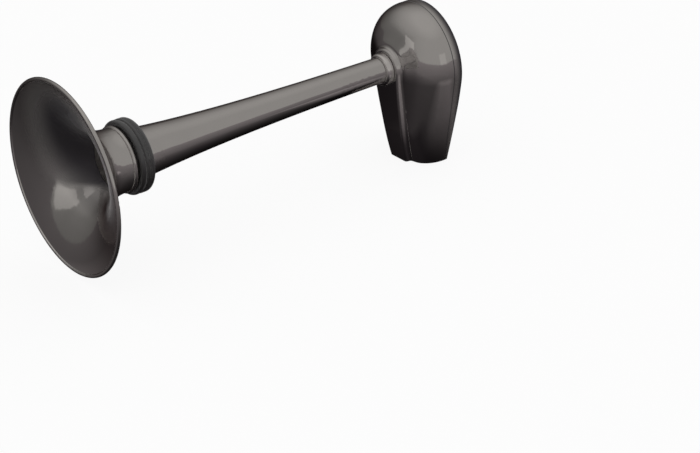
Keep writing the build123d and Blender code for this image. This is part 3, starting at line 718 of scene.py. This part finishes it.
def side_share(start, stage):
    """Level of the floor's bright side, lit patch and dim side."""
    spot = parts_of(start, own_place(start))[:2]
    low, high = DIM_EDGE
    side = start.node("ShaderNodeMapRange", Value=spot[1], From_Min=low, From_Max=high,
                      To_Min=1.0, To_Max=stage.dim_side)
    lit = 1.0 - share_beyond(spot, LIT_FLOOR).math("MINIMUM", 1.0)
    return side + stage.lit_gain * lit


def shade_share(start):
    """Zero on the floor's shaded rectangles, and one where the shade has faded."""
    spot = parts_of(start, own_place(start))[:2]
    first, second = (share_beyond(spot, patch) for patch in SHADES)
    return first.math("MINIMUM", second)


def share_beyond(spot, patch):
    """Distance of a place from a rectangle, as a share of the distance it fades over."""
    *ranges, fade = patch
    beyond = [(abs(place - (low + high) / 2) - (high - low) / 2).math("MAXIMUM", 0.0)
              for place, (low, high) in zip(spot, ranges)]
    return (beyond[0] * beyond[0] + beyond[1] * beyond[1]).math("SQRT") * (1.0 / fade)


class AIRHORN_OT_stage(bpy.types.Operator):
    """Set up the floor, the room light, the softboxes and the camera"""
    bl_idname = "airhorn.stage"
    bl_label = "Set the Stage"

    def execute(self, context):
        stage = context.scene.airhorn_stage
        self.make_floor(context, stage)
        self.light_room(context)
        self.hang_softboxes(context, stage)
        self.place_camera(context, stage)
        context.scene.view_settings.view_transform = "Standard"
        return {"FINISHED"}

    def make_floor(self, context, stage):
        """A wide floor just below the foot."""
        half, level = FLOOR_HALF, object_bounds()[0][2] - FLOOR_DROP
        mesh = bpy.data.meshes.new("floor")
        mesh.from_pydata([(-half, -half, level), (half, -half, level),
                          (half, half, level), (-half, half, level)], [], [(0, 1, 2, 3)])
        mesh.materials.append(floor_material(stage))
        floor = bpy.data.objects.new("floor", mesh)
        context.scene.collection.objects.link(floor)
        floor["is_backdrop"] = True

    def light_room(self, context):
        """Room light that grows with height and towards a bright side, white to the camera."""
        world = bpy.data.worlds.new("room")
        context.scene.world = world
        world.use_nodes = True
        tree = world.node_tree
        tree.nodes.clear()
        start = Sock(tree, 0.0)
        output = tree.nodes.new("ShaderNodeOutputWorld")
        direction = start.node("ShaderNodeTexCoord", output="Generated")
        along, across, height = parts_of(start, direction)
        turn = radians(BRIGHT_SIDE)
        facing = 0.5 + 0.5 * (along * cos(turn) + across * sin(turn))
        overhead = start.node("ShaderNodeValToRGB", {"stops": ROOM_STOPS}, Fac=height)
        side = start.node("ShaderNodeValToRGB", {"stops": BRIGHT_SIDE_STOPS}, Fac=facing)
        sky = mixed(start, 1.0, overhead, side, "LIGHTEN")
        clear = ray_is(start, "Camera") + ray_is(start, "Transmission")
        seen = mixed(start, clear, sky, WHITE)
        background = start.node("ShaderNodeBackground", Color=seen, Strength=1.0)
        background.plug(output.inputs["Surface"])

    def hang_softboxes(self, context, stage):
        """A softbox along the side and two windows, the higher of which lights the bell alone."""
        softbox(context, "side_softbox", stage.side_level)
        softbox(context, "wide_window", stage.window_level)
        high = softbox(context, "high_window", stage.window_level * HIGH_WINDOW_GAIN)
        lit = bpy.data.collections.new("lit_by_high_window")
        lit.objects.link(NODES["bell"])
        high.light_linking.receiver_collection = lit

    def place_camera(self, context, stage):
        """The camera, from its place and the directions of the picture's sides."""
        camera = bpy.data.cameras.new("view_camera")
        camera.lens = stage.focal_length
        camera.sensor_fit = "HORIZONTAL"
        camera.sensor_width = 36.0
        camera.clip_start = 0.01
        camera.clip_end = 100.0
        right = Vector(stage.camera_right).normalized()
        up = Vector(stage.camera_up).normalized()
        back = right.cross(up).normalized()
        up = back.cross(right)
        turn = Matrix((right, up, back)).transposed().to_4x4()
        made = bpy.data.objects.new("view_camera", camera)
        made.matrix_world = Matrix.Translation(Vector(stage.camera_place)) @ turn
        context.scene.collection.objects.link(made)
        context.scene.camera = made


def softbox(context, name, brightness):
    """Rectangular area lamp turned to the horn, as bright as a mirror shows it."""
    azimuth, elevation, size = SOFTBOXES[name]
    light = bpy.data.lights.new(name, "AREA")
    light.shape = "RECTANGLE"
    light.size, light.size_y = size
    light.energy = brightness * pi * size[0] * size[1]
    low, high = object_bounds()
    turn, rise = radians(azimuth), radians(elevation)
    away = Vector((cos(turn) * cos(rise), sin(turn) * cos(rise), sin(rise)))
    lamp = bpy.data.objects.new(name, light)
    lamp.location = (low + high) / 2 + LAMP_DISTANCE * away
    lamp.rotation_euler = away.to_track_quat("Z", "Y").to_euler()
    lamp.visible_camera = False
    context.scene.collection.objects.link(lamp)
    return lamp


# ---- Add-on ----

class AIRHORN_PT_panel(bpy.types.Panel):
    """Settings and steps of the air horn's finish"""
    bl_label = "Air Horn"
    bl_idname = "AIRHORN_PT_panel"
    bl_space_type = "VIEW_3D"
    bl_region_type = "UI"
    bl_category = "Air Horn"

    def draw(self, context):
        layout = self.layout
        for key in GROUPS:
            group = getattr(context.scene, key)
            box = layout.box()
            for name in group.__annotations__:
                box.prop(group, name)
        for operator in STEPS:
            layout.operator(operator.bl_idname)


STEPS = (AIRHORN_OT_trumpet, AIRHORN_OT_ring, AIRHORN_OT_housing, AIRHORN_OT_air_line,
         AIRHORN_OT_sound_head, AIRHORN_OT_stage)
GROUPS = {"airhorn_finish": HornFinish, "airhorn_ring": RingSizes, "airhorn_stage": HornStage}
CLASSES = (*GROUPS.values(), *STEPS, AIRHORN_PT_panel)


def register():
    for kind in CLASSES:
        bpy.utils.register_class(kind)
    for key, kind in GROUPS.items():
        setattr(bpy.types.Scene, key, bpy.props.PointerProperty(type=kind))


def unregister():
    for key in GROUPS:
        delattr(bpy.types.Scene, key)
    for kind in reversed(CLASSES):
        bpy.utils.unregister_class(kind)


def main():
    """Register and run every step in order."""
    register()
    for operator in STEPS:
        group, name = operator.bl_idname.split(".")
        getattr(getattr(bpy.ops, group), name)()


if __name__ == "__main__":
    main()
